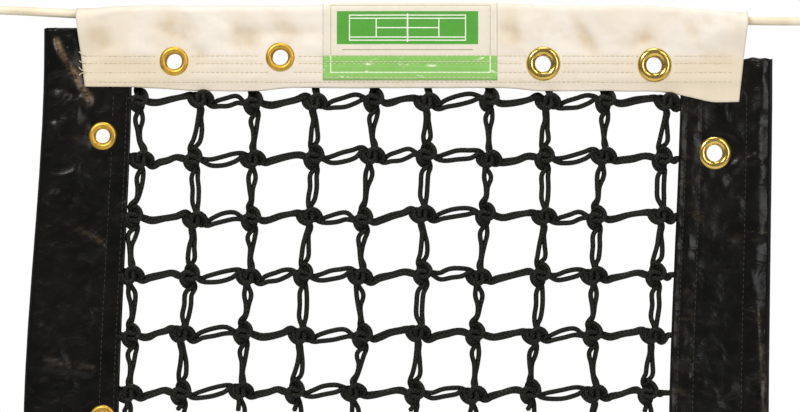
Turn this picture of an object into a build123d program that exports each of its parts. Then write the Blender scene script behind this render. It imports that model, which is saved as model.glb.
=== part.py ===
from build123d import *
import math
import os

# A short tennis net on its cable, at full playing height. Millimetres.
# Frame: the origin is on the cable's axis, midway along the headband. X runs along the cable, Y points to
# the back and Z points up. The net hangs down from the cable, and the front is the side with the label.

# Cable and its end fittings
cable_r = 3.3                 # vinyl-coated wire rope
core_r = 2.4                  # the wire rope inside the coating
core_fit = 0.05               # room between the rope and its coating
eye_wire_r = 2.5              # the bare rope that makes the eye
eye_bend_r = 13.0             # centreline of the eye, round the thimble
eye_bore_r = 8.0              # hole for the post's hook or shackle pin
eye_centre = 52.0             # from the ferrule's inner end to the middle of the eye
ferrule_length = 20.0
leg_offset = 2.8              # the two legs of the eye lie this far above and below the ferrule's middle
leg_bend_r = 40.0
thimble_half = 3.2
ferrule_wall = 1.3

# Points of the two free stretches of cable, from the headband's end to the ferrule
left_route = [(-254.5, 0.0, 0.0), (-279.0, 0.0, 2.4), (-305.0, 0.0, 5.2), (-330.0, 0.0, 6.6)]
right_route = [(254.5, 0.0, 0.0), (273.0, 0.0, -1.7), (292.0, 0.0, -2.7), (312.0, 0.0, -2.4)]

# Headband: a vinyl strip folded over the cable
headband_half = 254.5
headband_inner = 3.7          # inside half gap, also the radius of the fold
headband_layer = 1.0
headband_bottom = -55.7
headband_stitch_z = (-29.1, -34.7, -41.3, -48.7)

# Bottom band: a strip folded up round the netting's lower edge
bottom_inner = 2.5
bottom_layer = 1.0
bottom_z = -1062.0
bottom_top = -1012.0
bottom_stitch_z = (-1019.0, -1036.0)

# Side bands: two layers with a dowel pocket along the outer edge
band_inner = 1.65
band_layer = 0.8
band_tuck_z = -1040.0         # lower end of the flat part, inside the bottom band
pocket_back = 17.8
pocket_floor = -1058.0
pocket_corner_r = 5.0
left_outer, left_seam, left_inner, left_top = -288.0, -256.0, -218.0, -7.7
right_outer, right_seam, right_inner, right_top = 273.0, 256.0, 200.0, -30.7

# Fibreglass dowels that keep the sides straight
dowel_r = 4.0
dowel_y = 12.0
dowel_length = 960.0
dowel_gap = 0.2               # over the pocket's floor
left_dowel_x, right_dowel_x = -272.0, 264.5

# Netting: twine of 3.2 mm, doubled in the upper rows
twine = 3.2
columns, rows, double_rows = 10, 22, 6
first_column, column_pitch = -210.0, 44.3
first_row, row_pitch = -61.7, 44.7
net_left, net_right = -226.0, 208.0
net_top, net_bottom = -45.0, -1023.0
knot_size = (12.0, 8.0, 11.0)

# Brass grommets: (x, z) of each, bore radius, flange radius and height of the flange's dome
headband_left_holes = [(-180.5, -33.1), (-100.0, -29.9)]
headband_right_holes = [(99.6, -34.9), (184.0, -35.9)]
side_hole_pitch = 215.0
left_holes = [(-235.0, -89.7 - side_hole_pitch * n) for n in range(5)]
right_holes = [(230.0, -102.7 - side_hole_pitch * n) for n in range(5)]
eyelet_wall = 0.7
eyelet_fit = 0.1
washer_thick = 0.8
small_eyelet = {"bore": 6.0, "flange": 11.0, "dome": 1.5}
large_eyelet = {"bore": 6.25, "flange": 13.0, "dome": 2.1}
left_eyelet = {"bore": 5.5, "flange": 10.7, "dome": 1.5}
right_eyelet = {"bore": 6.3, "flange": 12.7, "dome": 2.1}

# Sewing thread and label
thread_wide, thread_high = 0.8, 0.25
label_left, label_right = -67.6, 64.6
label_top, label_bottom = 0.0, -47.4
label_thick = 0.3
label_hem = 3.0

headband_half_stack = headband_inner + headband_layer
band_half_stack = band_inner + band_layer
bottom_half_stack = bottom_inner + bottom_layer


def block(low, high):
    """A box from its lowest to its highest corner."""
    size = [h - l for l, h in zip(low, high)]
    middle = [(l + h) / 2 for l, h in zip(low, high)]
    return Pos(*middle) * Box(*size)


def rod_along_y(radius, length, x=0.0, z=0.0, y=0.0):
    return Pos(x, y, z) * Rot(X=90) * Cylinder(radius, length)


def rod_along_x(radius, length, x=0.0):
    return Pos(x, 0, 0) * Rot(Y=90) * Cylinder(radius, length)


# Cable


def wire_core():
    return rod_along_x(core_r, 2 * headband_half)


def cable_jacket():
    return rod_along_x(cable_r, 2 * headband_half) - rod_along_x(core_r + core_fit, 2 * headband_half)


def arc_radii(points):
    """The radius of each corner's arc: 0.45 of the shorter run over the tangent of half the turn."""
    corners = [Vector(*p) for p in points]
    radii = []
    for before, here, after in zip(corners, corners[1:], corners[2:]):
        arriving, leaving = here - before, after - here
        half_turn = math.radians(arriving.get_angle(leaving)) / 2
        radii.append(0.45 * min(arriving.length, leaving.length) / math.tan(half_turn))
    return radii


def cable_tail(route):
    """The free stretch between the headband's end and the ferrule, squared off at the headband's end."""
    side = math.copysign(1, route[0][0])
    start = Vector(*route[0]) - (Vector(*route[1]) - Vector(*route[0])).normalized()
    points = [tuple(start)] + route[1:]
    radii = arc_radii(points)
    path = FilletPolyline(*points, radius=radii)
    tail = sweep(Plane(origin=path @ 0, z_dir=path % 0) * Circle(cable_r), path=path)
    print("cable tail: arc radii", [round(r) for r in radii], "length", round(path.length, 1), "volume against tube",
          round(tail.volume / (math.pi * cable_r ** 2 * path.length), 4))
    inside = Pos(side * (headband_half - 10), 0, 0) * Box(20, 20, 20)
    return tail - inside


def eye_path():
    """Centreline of the eye, in its own frame: X points outward and the ferrule starts at 0."""
    leg_end = Vector(ferrule_length + 2, 0, leg_offset)
    centre = Vector(eye_centre, 0, 0)
    reach = centre - leg_end
    lift = math.asin(eye_bend_r / reach.length) - math.atan2(leg_offset, reach.X)
    run = math.sqrt(reach.length ** 2 - eye_bend_r ** 2)
    touch = leg_end + Vector(math.cos(lift), 0, math.sin(lift)) * run
    upper = [Vector(0, 0, leg_offset), leg_end, touch]
    lower = [Vector(p.X, 0, -p.Z) for p in reversed(upper)]
    first = FilletPolyline(*upper, radius=leg_bend_r)
    bend = ThreePointArc(touch, centre + Vector(eye_bend_r, 0, 0), lower[0])
    last = FilletPolyline(*lower, radius=leg_bend_r)
    return Wire(first.edges() + bend.edges() + last.edges()), touch


def eye_tube(radius):
    path, _ = eye_path()
    return sweep(Plane(origin=path @ 0, z_dir=path % 0) * Circle(radius), path=path)


def ferrule():
    """A pressed sleeve round the rope's two legs."""
    wide = 2 * (leg_offset + eye_wire_r + ferrule_wall)
    high = 2 * (eye_wire_r + ferrule_wall)
    section = Plane.YZ * Rot(Z=90) * SlotOverall(wide, high)
    sleeve = extrude(section, ferrule_length)
    sleeve = chamfer(sleeve.faces().sort_by(Axis.X)[-1].edges() + sleeve.faces().sort_by(Axis.X)[0].edges(), 0.8)
    return sleeve - eye_tube(eye_wire_r + core_fit)


def thimble():
    """A solid thimble: a grooved tear-drop plate with a round hole."""
    _, touch = eye_path()
    nose_x = ferrule_length + 10
    leg_x = ferrule_length + 2
    nose_z = leg_offset + (touch.Z - leg_offset) * (nose_x - leg_x) / (touch.X - leg_x)
    round_part = rod_along_y(eye_bend_r, 2 * thimble_half, eye_centre)
    outline = Polyline((nose_x, 0, nose_z), (touch.X, 0, touch.Z), (touch.X, 0, -touch.Z), (nose_x, 0, -nose_z),
                       close=True)
    nose = extrude(Face(Wire(outline.edges())), thimble_half, both=True, dir=(0, 1, 0))
    bore = rod_along_y(eye_bore_r, 4 * thimble_half, eye_centre)
    return round_part + nose - eye_tube(eye_wire_r + core_fit) - bore


def at_cable_end(shape, route):
    """Places an end fitting square on the last run of a free stretch."""
    before, end = Vector(*route[-2]), Vector(*route[-1])
    rise = math.degrees(math.atan2(end.Z - before.Z, abs(end.X - before.X)))
    if end.X < 0:
        shape = mirror(shape, Plane.YZ)
        return Pos(*route[-1]) * Rot(Y=rise) * shape
    return Pos(*route[-1]) * Rot(Y=-rise) * shape


# Bands


def folded_strip(inner_r, layer, reach):
    """A strip folded round the X axis, with two flat legs that hang to reach below the axis."""
    outer_r = inner_r + layer
    outside = Circle(outer_r) + Pos(0, -reach / 2) * Rectangle(2 * outer_r, reach)
    inside = Circle(inner_r) + Pos(0, -reach) * Rectangle(2 * inner_r, 2 * reach)
    return extrude(Plane.YZ * (outside - inside), headband_half, both=True)


def eyelet_holes(places, size):
    radius = size["bore"] + eyelet_wall + eyelet_fit
    return [rod_along_y(radius, 40, x, z) for x, z in places]


def headband():
    holes = eyelet_holes(headband_left_holes, small_eyelet) + eyelet_holes(headband_right_holes, large_eyelet)
    return folded_strip(headband_inner, headband_layer, -headband_bottom) - holes


def bottom_band():
    strip = folded_strip(bottom_inner, bottom_layer, bottom_top - bottom_z - bottom_half_stack)
    return Pos(0, 0, bottom_z + bottom_half_stack) * Rot(X=180) * strip


def side_band(outer, seam, inner, top, holes):
    """Two flat layers from the inner edge to the seam, and a closed-bottomed dowel pocket outside the seam."""
    width = abs(outer - seam)
    depth = pocket_back + band_half_stack
    middle = Pos((outer + seam) / 2, pocket_back - depth / 2, pocket_floor)
    tall = top - pocket_floor
    outside = RectangleRounded(width, depth, pocket_corner_r)
    inside = RectangleRounded(width - 2 * band_layer, depth - 2 * band_layer, pocket_corner_r - band_layer)
    pocket = middle * (extrude(outside, tall) - Pos(0, 0, band_layer) * extrude(inside, tall))
    root = seam + math.copysign(band_layer / 2, seam)
    lead = seam + math.copysign(pocket_corner_r, seam)
    low_x, high_x = sorted((inner, root))
    back = block((low_x, band_inner, band_tuck_z), (high_x, band_half_stack, top))
    low_x, high_x = sorted((inner, lead))
    front = block((low_x, -band_half_stack, band_tuck_z), (high_x, -band_inner, top))
    return pocket + back + front - holes


def left_band():
    return side_band(left_outer, left_seam, left_inner, left_top, eyelet_holes(left_holes, left_eyelet))


def right_band():
    return side_band(right_outer, right_seam, right_inner, right_top, eyelet_holes(right_holes, right_eyelet))


def dowel(x):
    foot = pocket_floor + band_layer + dowel_gap
    rod = Pos(x, dowel_y, foot + dowel_length / 2) * Cylinder(dowel_r, dowel_length)
    return chamfer(rod.edges().filter_by(GeomType.CIRCLE), 0.8)


# Netting


def netting(row_numbers, top, bottom, line_wide):
    """Crossed lines of twine with a knot at every crossing, as one solid."""
    middle_x, middle_z = (net_left + net_right) / 2, (top + bottom) / 2
    plan = Sketch()
    for number in range(columns):
        plan += Pos(first_column + number * column_pitch, middle_z) * Rectangle(line_wide, top - bottom)
    for number in row_numbers:
        plan += Pos(middle_x, first_row - number * row_pitch) * Rectangle(net_right - net_left, line_wide)
    lines = extrude(Plane.XZ * plan, twine / 2, both=True)
    knots = [Pos(first_column + column * column_pitch, 0, first_row - row * row_pitch) * Box(*knot_size)
             for column in range(columns) for row in row_numbers]
    return lines + knots


def double_foot():
    """Lower side of the last doubled row's knots."""
    return first_row - (double_rows - 1) * row_pitch - knot_size[2] / 2


# Grommets


def eyelet(size, half_stack):
    """A domed flange on the front, a barrel through the layers and a curl behind the washer."""
    bore, flange, dome = size["bore"], size["flange"], size["dome"]
    outside = bore + eyelet_wall
    throat = 0.6
    curl = outside + 1.2
    front, back = -half_stack, half_stack + washer_thick
    edges = [
        ThreePointArc((flange, front), ((flange + bore) / 2, front - dome), (bore, front + throat)),
        Line((bore, front + throat), (bore, back - 0.4)),
        ThreePointArc((bore, back - 0.4), ((bore + curl) / 2, back + 1.0), (curl, back)),
        Polyline((curl, back), (outside, back), (outside, front), (flange, front)),
    ]
    return revolve(Face(Wire([edge for line in edges for edge in line.edges()])), axis=Axis.Y)


def washer(size, half_stack):
    hole = size["bore"] + eyelet_wall + eyelet_fit / 2
    ring = rod_along_y(size["flange"] - 0.3, washer_thick) - rod_along_y(hole, 2 * washer_thick)
    return Pos(0, half_stack + washer_thick / 2, 0) * ring


def group(shape, places):
    return Compound([Pos(x, 0, z) * shape for x, z in places])


# Thread and label


def clear_of(strips, cutters):
    """The strips less the cutters, as one group of solids."""
    pieces = []
    for strip in strips:
        pieces += (strip - cutters).solids() if cutters else strip.solids()
    return Compound(pieces)


def thread_row_x(z, half_stack, side, low_x, high_x):
    """A row of stitching along X on the front (side -1) or back (side 1) face."""
    low_y, high_y = sorted((side * half_stack, side * (half_stack + thread_high)))
    return block((low_x, low_y, z - thread_wide / 2), (high_x, high_y, z + thread_wide / 2))


def thread_row_z(x, half_stack, side, low_z, high_z):
    low_y, high_y = sorted((side * half_stack, side * (half_stack + thread_high)))
    return block((x - thread_wide / 2, low_y, low_z), (x + thread_wide / 2, high_y, high_z))


def flange_clearance(places, size):
    return [rod_along_y(size["flange"] + 0.3, 40, x, z) for x, z in places]


def headband_stitching():
    margin = 3.0
    strips = [thread_row_x(z, headband_half_stack, side, margin - headband_half, headband_half - margin)
              for z in headband_stitch_z for side in (-1, 1)]
    cutters = flange_clearance(headband_left_holes, small_eyelet) + flange_clearance(headband_right_holes, large_eyelet)
    cutters.append(block((label_left - 0.2, -20, label_bottom - 0.2), (label_right + 0.2, 0, label_top + 0.2)))
    return clear_of(strips, cutters)


def label():
    front = -headband_half_stack - label_thick
    return block((label_left, front, label_bottom), (label_right, -headband_half_stack, label_top))


def label_stitching():
    """Thread round the label's edge, on its front."""
    face = headband_half_stack + label_thick
    left, right = label_left + label_hem, label_right - label_hem
    low, high = label_bottom + label_hem, -label_hem
    strips = [thread_row_x(z, face, -1, left, right) for z in (low, high)]
    inset = thread_wide / 2 + 0.1
    strips += [thread_row_z(x, face, -1, low + inset, high - inset) for x in (left, right)]
    return clear_of(strips, [])


def side_stitching(xs, places, size):
    low, high = bottom_top + 0.5, headband_bottom - 0.5
    strips = [thread_row_z(x, band_half_stack, side, low, high) for x in xs for side in (-1, 1)]
    return clear_of(strips, flange_clearance(places, size))


def bottom_stitching():
    margin = 3.0
    return clear_of([thread_row_x(z, bottom_half_stack, side, margin - headband_half, headband_half - margin)
                     for z in bottom_stitch_z for side in (-1, 1)], [])


def end_nodes(side, route):
    return {
        f"{side}_cable_tail": cable_tail(route),
        f"{side}_ferrule": at_cable_end(ferrule(), route),
        f"{side}_eye_wire": at_cable_end(eye_tube(eye_wire_r), route),
        f"{side}_thimble": at_cable_end(thimble(), route),
    }


def grommet_nodes(name, places, size, half_stack):
    return {
        f"{name}_grommets": group(eyelet(size, half_stack), places),
        f"{name}_washers": group(washer(size, half_stack), places),
    }


nodes = {
    "wire_core": wire_core(),
    "cable_jacket": cable_jacket(),
    **end_nodes("left", left_route),
    **end_nodes("right", right_route),
    "headband": headband(),
    "headband_stitching": headband_stitching(),
    "label": label(),
    "label_stitching": label_stitching(),
    **grommet_nodes("headband_left", headband_left_holes, small_eyelet, headband_half_stack),
    **grommet_nodes("headband_right", headband_right_holes, large_eyelet, headband_half_stack),
    "left_band": left_band(),
    "left_band_stitching": side_stitching((-222.0, -251.0), left_holes, left_eyelet),
    **grommet_nodes("left_band", left_holes, left_eyelet, band_half_stack),
    "right_band": right_band(),
    "right_band_stitching": side_stitching((204.5, 216.6, 251.0), right_holes, right_eyelet),
    **grommet_nodes("right_band", right_holes, right_eyelet, band_half_stack),
    "bottom_band": bottom_band(),
    "bottom_band_stitching": bottom_stitching(),
    "netting_double": netting(range(double_rows), net_top, double_foot(), 2 * twine),
    "netting_single": netting(range(double_rows, rows), double_foot(), net_bottom, twine),
    "left_dowel": dowel(left_dowel_x),
    "right_dowel": dowel(right_dowel_x),
}

os.makedirs("parts", exist_ok=True)
for name, shape in nodes.items():
    export_step(shape, f"parts/{name}.step")
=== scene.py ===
"""The looks of a short tennis net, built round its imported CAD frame. Metres; the front faces -Y."""

import math
import random

import bpy
import numpy as np
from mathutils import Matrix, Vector, noise


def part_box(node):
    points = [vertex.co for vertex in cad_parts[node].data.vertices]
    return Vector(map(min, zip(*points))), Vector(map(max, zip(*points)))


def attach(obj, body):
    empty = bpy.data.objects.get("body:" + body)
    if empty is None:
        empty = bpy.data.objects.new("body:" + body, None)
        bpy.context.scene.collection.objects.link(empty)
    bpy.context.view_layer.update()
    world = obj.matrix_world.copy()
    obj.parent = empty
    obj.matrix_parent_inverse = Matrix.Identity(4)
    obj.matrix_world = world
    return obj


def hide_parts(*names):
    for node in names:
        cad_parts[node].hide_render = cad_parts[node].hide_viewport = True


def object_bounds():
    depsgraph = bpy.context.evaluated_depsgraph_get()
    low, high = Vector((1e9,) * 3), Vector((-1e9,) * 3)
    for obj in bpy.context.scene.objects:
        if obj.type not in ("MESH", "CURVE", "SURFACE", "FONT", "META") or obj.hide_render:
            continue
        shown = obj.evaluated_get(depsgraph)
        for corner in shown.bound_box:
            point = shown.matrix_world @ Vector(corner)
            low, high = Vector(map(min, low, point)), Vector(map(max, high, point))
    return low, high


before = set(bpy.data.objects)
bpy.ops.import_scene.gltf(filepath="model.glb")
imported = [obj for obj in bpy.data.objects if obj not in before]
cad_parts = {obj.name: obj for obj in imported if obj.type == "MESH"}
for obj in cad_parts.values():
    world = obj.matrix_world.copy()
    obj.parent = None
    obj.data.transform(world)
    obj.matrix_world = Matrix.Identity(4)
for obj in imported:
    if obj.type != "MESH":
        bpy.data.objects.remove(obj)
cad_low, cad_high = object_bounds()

MM = 0.001
SEED = 41
FULL_TURN = 2 * math.pi


# Camera, light and stage


def put(name, data):
    """A new object in the scene."""
    made = bpy.data.objects.new(name, data)
    bpy.context.scene.collection.objects.link(made)
    return made


def camera_and_light():
    """A level camera square to the net's front, in soft light from above and in front."""
    view_width = 0.608
    distance = 2.3
    centre = Vector((-0.0091, 0, -0.1429))
    camera_data = bpy.data.cameras.new("camera")
    camera_data.sensor_width = 36
    camera_data.lens = 36 * distance / view_width
    camera = put("camera", camera_data)
    camera.location = centre + Vector((0, -distance, 0))
    camera.rotation_euler = (math.radians(90), 0, 0)
    bpy.context.scene.camera = camera
    area_light("key", (-0.9, -1.6, 1.1), 0.7, 26, (1.0, 0.95, 0.88))
    area_light("fill", (1.3, -1.9, 0.1), 1.1, 10, (0.97, 0.98, 1.0))
    area_light("warm", (1.2, -1.5, 1.2), 0.6, 9, (1.0, 0.80, 0.56))
    area_light("top", (0.1, -0.2, 1.6), 0.9, 10, (1.0, 1.0, 1.0))
    area_light("back", (0.4, 1.8, 0.7), 1.0, 12, (1.0, 1.0, 1.0))


def area_light(name, place, size, power, colour):
    """A round lamp at place, turned to the net."""
    data = bpy.data.lights.new(name, "AREA")
    data.shape = "DISK"
    data.size = size
    data.energy = power
    data.color = colour
    lamp = put(name, data)
    lamp.location = place
    aim = Vector((0, 0, -0.25)) - lamp.location
    lamp.rotation_euler = aim.to_track_quat("-Z", "Y").to_euler()


def white_world():
    """White behind the net, dimmer in the light that it gives, and dimmer still in reflections."""
    lit, reflected = 0.42, 0.2
    world = bpy.data.worlds.new("studio")
    bpy.context.scene.world = world
    world.use_nodes = True
    tree = world.node_tree
    tree.nodes.clear()
    kinds = ("OutputWorld", "MixShader", "LightPath", "Background", "Background", "MapRange")
    out, mix, path, seen, given, shiny = [tree.nodes.new("ShaderNode" + kind) for kind in kinds]
    for background in (seen, given):
        background.inputs["Color"].default_value = (1, 1, 1, 1)
        background.inputs["Strength"].default_value = 1.0
    shiny.inputs["To Min"].default_value = lit
    shiny.inputs["To Max"].default_value = reflected
    for source, target in ((path.outputs["Is Glossy Ray"], shiny.inputs["Value"]),
                           (shiny.outputs["Result"], given.inputs["Strength"]),
                           (path.outputs["Is Camera Ray"], mix.inputs[0]), (given.outputs[0], mix.inputs[1]),
                           (seen.outputs[0], mix.inputs[2]), (mix.outputs[0], out.inputs["Surface"])):
        tree.links.new(source, target)
    bpy.context.scene.view_settings.view_transform = "Standard"


def stage_floor():
    """A pale floor well under the net."""
    half, level = 3.0, cad_low.z - 0.12
    corners = [(-half, -half, level), (half, -half, level), (half, half, level), (-half, half, level)]
    mesh = bpy.data.meshes.new("floor")
    mesh.from_pydata(corners, [], [(0, 1, 2, 3)])
    mesh.materials.append(Shader("pale_floor").base((0.9, 0.9, 0.89), 0.6).material)
    put("floor", mesh)


# Materials


class Shader:
    """A small helper that lays out a Principled material's nodes."""

    def __init__(self, name):
        self.material = bpy.data.materials.new(name)
        self.material.use_nodes = True
        self.tree = self.material.node_tree
        self.principled = self.tree.nodes["Principled BSDF"]

    def node(self, kind, **values):
        """A node with these properties or inputs, spaces in their names written as underscores."""
        made = self.tree.nodes.new("ShaderNode" + kind)
        for key, value in values.items():
            if hasattr(made, key):
                setattr(made, key, value)
            else:
                made.inputs[key.replace("_", " ")].default_value = value
        return made

    def link(self, source, target):
        self.tree.links.new(source, target)
        return self

    def base(self, colour, roughness, metallic=0.0):
        self.principled.inputs["Base Color"].default_value = (*colour, 1)
        self.principled.inputs["Roughness"].default_value = roughness
        self.principled.inputs["Metallic"].default_value = metallic
        return self

    def place(self, scale=(1, 1, 1)):
        """The point in the net's frame, in metres, times scale."""
        where = self.node("TexCoord").outputs["Object"]
        mapping = self.node("Mapping")
        mapping.inputs["Scale"].default_value = scale
        self.link(where, mapping.inputs["Vector"])
        return mapping.outputs["Vector"]

    def noise(self, size, detail=4.0, stretch=(1, 1, 1), distortion=0.0):
        """Noise with features of about this size in metres."""
        made = self.node("TexNoise", Detail=detail, Distortion=distortion, Scale=1 / size)
        self.link(self.place(stretch), made.inputs["Vector"])
        return made.outputs["Fac"]

    def ramp(self, value, *stops):
        """A colour ramp through (position, colour) stops."""
        ramp = self.node("ValToRGB")
        elements = ramp.color_ramp.elements
        while len(elements) < len(stops):
            elements.new(0.5)
        for element, (position, colour) in zip(elements, stops):
            element.position = position
            element.color = (*colour, 1)
        self.link(value, ramp.inputs["Fac"])
        return ramp.outputs["Color"]

    def span(self, value, low, high, to_low, to_high):
        """Value stretched from one range to another, and held within it."""
        made = self.node("MapRange", From_Min=low, From_Max=high, To_Min=to_low, To_Max=to_high)
        self.link(value, made.inputs["Value"])
        return made.outputs["Result"]

    def math(self, operation, first, second=0.0):
        """A sum of sockets or numbers."""
        made = self.node("Math", operation=operation)
        for socket, value in zip(made.inputs, (first, second)):
            if isinstance(value, (int, float)):
                socket.default_value = value
            else:
                self.link(value, socket)
        return made.outputs[0]

    def mix(self, factor, first, second, blend="MIX"):
        """Two colours mixed by factor. Each may be a socket."""
        made = self.node("Mix", data_type="RGBA", blend_type=blend)
        for socket, value in zip((made.inputs[0], made.inputs[6], made.inputs[7]), (factor, first, second)):
            if isinstance(value, (int, float)):
                socket.default_value = value
            elif isinstance(value, tuple):
                socket.default_value = (*value, 1)
            else:
                self.link(value, socket)
        return made.outputs[2]

    def bump(self, height, strength, distance, under=None):
        """Bumps on the surface, over those of the normal under."""
        made = self.node("Bump", Strength=strength, Distance=distance)
        self.link(height, made.inputs["Height"])
        if under is not None:
            self.link(under, made.inputs["Normal"])
        self.link(made.outputs["Normal"], self.principled.inputs["Normal"])
        return made.outputs["Normal"]

    def split(self, socket):
        """The X, Y and Z outputs of a vector."""
        made = self.node("SeparateXYZ")
        self.link(socket, made.inputs[0])
        return made.outputs

    def attribute(self, name):
        return self.node("Attribute", attribute_name=name).outputs["Fac"]

    def times(self, first, second):
        return self.math("MULTIPLY", first, second)

    def fold(self, operation, sockets):
        """One operation over all the sockets in turn."""
        total = sockets[0]
        for socket in sockets[1:]:
            total = self.math(operation, total, socket)
        return total

    def colour(self, socket):
        return self.link(socket, self.principled.inputs["Base Color"])

    def rough(self, mottle, low, high):
        """Roughness that wanders from low to high with a noise."""
        return self.link(self.span(mottle, 0.3, 0.7, low, high), self.principled.inputs["Roughness"])

    def set(self, socket, number):
        self.principled.inputs[socket].default_value = number


def twine_material():
    """Braided black twine, faintly olive, with a plait that follows each strand, and painted shade in the
    plait's grooves.
    """
    s = Shader("braided_twine").base((0.02, 0.022, 0.018), 0.55)
    along = s.split(s.node("UVMap", uv_map="strand").outputs["UV"])
    turns = s.times(along["X"], 3 * FULL_TURN)
    climb = s.times(along["Y"], FULL_TURN)
    right = s.math("SINE", s.math("ADD", turns, climb))
    left = s.math("SINE", s.math("SUBTRACT", turns, climb))
    braid = s.math("MAXIMUM", right, left)
    fuzz = s.noise(0.0006, 3.0)
    patch = s.noise(0.012, 3.0)
    # painted shade: the twine's colour darkens in the braid's grooves, where shade would fall
    groove_shade = s.mix(s.span(braid, 0.1, 1.0, 0.0, 1.0), (0.0015, 0.0015, 0.001), (0.009, 0.010, 0.007))
    tint = s.ramp(patch, (0.35, (0.75, 0.75, 0.75)), (0.65, (1.25, 1.28, 1.1)))
    s.colour(s.mix(1.0, groove_shade, tint, "MULTIPLY"))
    s.rough(fuzz, 0.45, 0.75)
    fine = s.bump(fuzz, 0.25, 0.0002)
    s.bump(braid, 0.8, 0.0004, fine)
    s.set("Specular IOR Level", 0.3)
    return s.material


def white_vinyl_material():
    """Cream vinyl-coated cloth over a faint weave, tan along its hem and at its left end, with painted shade
    in its dents.
    """
    s = Shader("white_vinyl").base((0.76, 0.70, 0.61), 0.5)
    scuff = s.noise(0.05, 4.0, (1, 1, 0.7), 0.8)
    clean, warm = (0.755, 0.715, 0.655), (0.685, 0.605, 0.475)
    # deep is the colour of the painted shade in the dents
    deep, soiled = (0.60, 0.49, 0.345), (0.55, 0.47, 0.36)
    where = s.split(s.place())
    ends = s.span(s.math("ABSOLUTE", where["X"]), 0.10, 0.20, 0.35, 0.9)
    hem = s.times(s.span(where["Z"], -0.027, -0.033, 0.0, 1.0), ends)
    left_end = s.span(where["X"], -0.245, -0.185, 1.0, 0.0)
    handled = s.times(left_end, s.span(scuff, 0.3, 0.6, 0.35, 0.8))
    # painted shade: the front's dents and dips are coloured tan-brown, standing for the shade in them
    dent_shading = s.times(s.attribute("dent_shade"), s.span(s.noise(0.009), 0.3, 0.6, 0.45, 0.85))
    tone = s.mix(s.span(scuff, 0.50, 0.72, 0.0, 0.6), clean, warm)
    tone = s.mix(hem, tone, warm)
    tone = s.mix(handled, tone, warm)
    tone = s.mix(dent_shading, tone, deep)
    s.colour(s.mix(s.span(s.noise(0.011, 5.0), 0.55, 0.8, 0.0, 0.25), tone, soiled))
    s.rough(s.noise(0.02), 0.38, 0.6)
    fine = s.bump(weave_height(s, 0.9 * MM), 0.10, 0.0002)
    s.bump(s.noise(0.006, 5.0), 0.16, 0.0008, fine)
    return s.material


def weave_height(s, pitch):
    """Over-and-under threads of a plain weave in the XZ plane."""
    where = s.split(s.place())
    across = s.math("SINE", s.times(where["X"], FULL_TURN / pitch))
    down = s.math("SINE", s.times(where["Z"], FULL_TURN / pitch))
    return s.times(across, down)


def black_vinyl_material():
    """Glossy black vinyl with fine creases, and tan painted highlights along the lit sides of its ridges."""
    s = Shader("black_vinyl").base((0.003, 0.003, 0.0025), 0.3)
    cloud = s.noise(0.05, 4.0, (1, 1, 0.7), 0.6)
    tone = s.ramp(cloud, (0.45, (0.0015, 0.0015, 0.0012)), (0.66, (0.004, 0.0033, 0.0022)),
                  (0.85, (0.012, 0.009, 0.005)))
    specks = s.span(s.noise(0.004, 5.0, (1, 1, 1.3), 0.5), 0.36, 0.54, 0.1, 1.0)
    patches = s.span(s.noise(0.016, 2.0), 0.40, 0.58, 0.12, 1.0)
    glint_paint = s.times(s.times(s.attribute("painted_glint"), specks), patches)
    # painted highlight: tan on the lit sides of the ridges and on the crumples, in place of glints
    s.colour(s.mix(glint_paint, tone, (0.30, 0.205, 0.12)))
    s.rough(s.noise(0.015, 5.0), 0.18, 0.34)
    fine = s.bump(s.noise(0.0016, 4.0), 0.08, 0.0003)
    creases = s.noise(0.016, 5.0, (1.0, 1.0, 1.5), 1.2)
    s.bump(creases, 0.30, 0.0022, fine)
    s.set("Specular IOR Level", 0.28)
    return s.material


def brass_material(name, colour, roughness):
    """Stamped brass with faint spun scratches and darker patches."""
    s = Shader(name).base(colour, roughness, 1.0)
    dark = tuple(c * 0.62 for c in colour)
    s.colour(s.mix(s.span(s.noise(0.006, 5.0), 0.45, 0.75, 0.0, 0.8), colour, dark))
    s.rough(s.noise(0.0015), roughness * 0.75, roughness * 1.35)
    s.bump(s.noise(0.0011, 3.0), 0.12, 0.0002)
    return s.material


def metal_material(name, colour, roughness, grain):
    """Dull metal, clouded and pitted at the size of its grain."""
    s = Shader(name).base(colour, roughness, 1.0)
    dark = tuple(c * 0.7 for c in colour)
    s.colour(s.mix(s.span(s.noise(grain * 4, 5.0), 0.4, 0.7, 0.0, 1.0), colour, dark))
    s.rough(s.noise(grain), roughness * 0.7, roughness * 1.4)
    s.bump(s.noise(grain, 3.0), 0.2, 0.0002)
    return s.material


def cable_material():
    """Ivory vinyl coating with faint scuffs."""
    s = Shader("ivory_coating").base((0.78, 0.70, 0.55), 0.35)
    scuff = s.span(s.noise(0.01, 4.0, (0.4, 1, 1)), 0.45, 0.75, 0.0, 0.7)
    s.colour(s.mix(scuff, (0.80, 0.72, 0.57), (0.62, 0.51, 0.35)))
    s.rough(s.noise(0.003), 0.28, 0.5)
    s.bump(s.noise(0.004, 3.0, (0.3, 1, 1)), 0.2, 0.0003)
    return s.material


def thread_material(name, colour):
    """Twisted sewing thread."""
    s = Shader(name).base(colour, 0.7)
    ply = s.noise(0.0007, 2.0)
    s.colour(s.mix(s.span(ply, 0.35, 0.65, 0.0, 1.0), tuple(c * 0.75 for c in colour), colour))
    s.rough(ply, 0.6, 0.85)
    s.bump(ply, 0.4, 0.0002)
    return s.material


def fibreglass_material():
    """Pultruded rod with long fibres."""
    s = Shader("fibreglass").base((0.72, 0.70, 0.60), 0.4)
    fibre = s.noise(0.0012, 4.0, (1, 1, 0.03))
    s.colour(s.mix(s.span(fibre, 0.35, 0.65, 0.0, 1.0), (0.62, 0.60, 0.50), (0.76, 0.74, 0.66)))
    s.rough(fibre, 0.32, 0.5)
    s.bump(fibre, 0.3, 0.0002)
    return s.material


# Shapes shared by several pieces


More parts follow.
